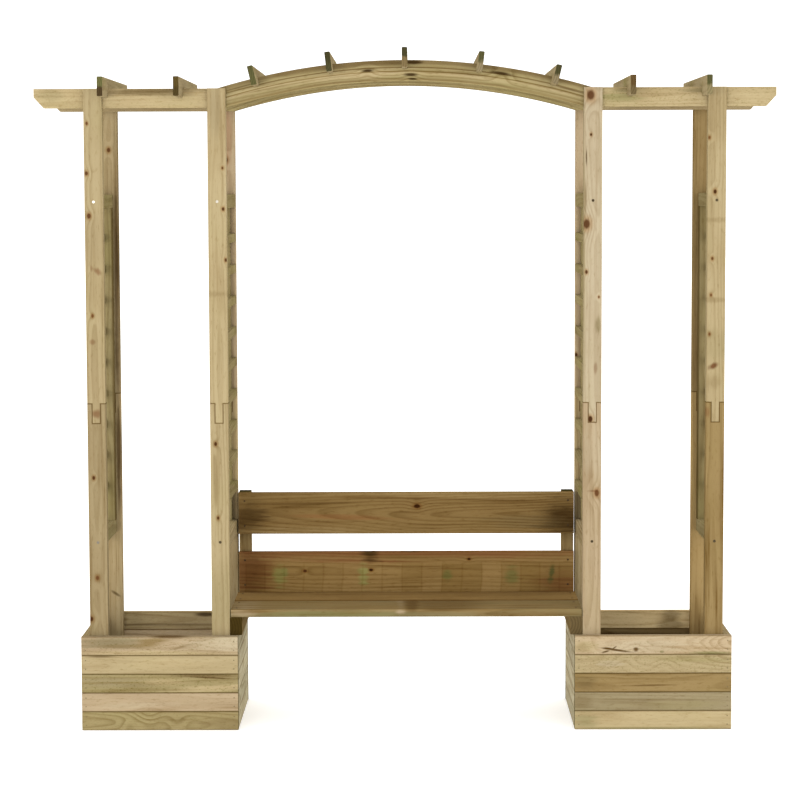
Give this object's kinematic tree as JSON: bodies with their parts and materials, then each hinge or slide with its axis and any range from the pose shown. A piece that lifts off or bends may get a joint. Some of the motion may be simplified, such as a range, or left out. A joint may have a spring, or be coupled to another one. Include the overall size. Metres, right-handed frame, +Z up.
{
  "type": "arbour seat",
  "caption": "Timber garden arbour: bench with a backrest between two planters, posts, slatted sides and an arched roof of rafters.",
  "frame": {"origin": "on the ground, in the middle of the plan", "axes": "+X to the right along the bench as seen from the front, +Y from the open front to the backrest, +Z up"},
  "size_m": [2.706, 0.8, 2.5],
  "materials": {
    "planter_timber": "planed treated softwood, weathered, matt",
    "post_timber": "planed treated softwood, weathered, matt",
    "roof_timber": "planed treated softwood, weathered, matt",
    "rafter_timber": "planed treated softwood, weathered, matt",
    "trellis_timber": "planed treated softwood, weathered, matt",
    "seat_timber": "planed treated softwood, damp and darkened, satin",
    "screw_steel": "plated steel, dulled"
  },
  "bodies": {
    "root": {"arch_back": "roof_timber", "arch_front": "roof_timber", "backrest_batten_left": "seat_timber", "backrest_batten_right": "seat_timber", "backrest_board_lower": "seat_timber", "backrest_board_upper": "seat_timber", "beam_back_left": "roof_timber", "beam_back_right": "roof_timber", "beam_front_left": "roof_timber", "beam_front_right": "roof_timber", "cross_rail_left_inner": "trellis_timber", "cross_rail_left_outer": "trellis_timber", "cross_rail_right_inner": "trellis_timber", "cross_rail_right_outer": "trellis_timber", "planter_left_back_boards": "planter_timber", "planter_left_floor_battens": "planter_timber", "planter_left_floor_boards": "planter_timber", "planter_left_front_boards": "planter_timber", "planter_left_inner_boards": "planter_timber", "planter_left_outer_boards": "planter_timber", "planter_right_back_boards": "planter_timber", "planter_right_floor_battens": "planter_timber", "planter_right_floor_boards": "planter_timber", "planter_right_front_boards": "planter_timber", "planter_right_inner_boards": "planter_timber", "planter_right_outer_boards": "planter_timber", "post_back_left_inner_lower": "post_timber", "post_back_left_inner_upper": "post_timber", "post_back_left_outer_lower": "post_timber", "post_back_left_outer_upper": "post_timber", "post_back_right_inner_lower": "post_timber", "post_back_right_inner_upper": "post_timber", "post_back_right_outer_lower": "post_timber", "post_back_right_outer_upper": "post_timber", "post_front_left_inner_lower": "post_timber", "post_front_left_inner_upper": "post_timber", "post_front_left_outer_lower": "post_timber", "post_front_left_outer_upper": "post_timber", "post_front_right_inner_lower": "post_timber", "post_front_right_inner_upper": "post_timber", "post_front_right_outer_lower": "post_timber", "post_front_right_outer_upper": "post_timber", "rafter_1": "rafter_timber", "rafter_2": "rafter_timber", "rafter_3": "rafter_timber", "rafter_4": "rafter_timber", "rafter_5": "rafter_timber", "rafter_6": "rafter_timber", "rafter_7": "rafter_timber", "rafter_8": "rafter_timber", "rafter_9": "rafter_timber", "rail_screws": "screw_steel", "seat_bearer_left": "seat_timber", "seat_bearer_right": "seat_timber", "seat_board_front": "seat_timber", "seat_board_rear": "seat_timber", "trellis_left_inner": "trellis_timber", "trellis_left_outer": "trellis_timber", "trellis_right_inner": "trellis_timber", "trellis_right_outer": "trellis_timber"}
  },
  "joints": []
}
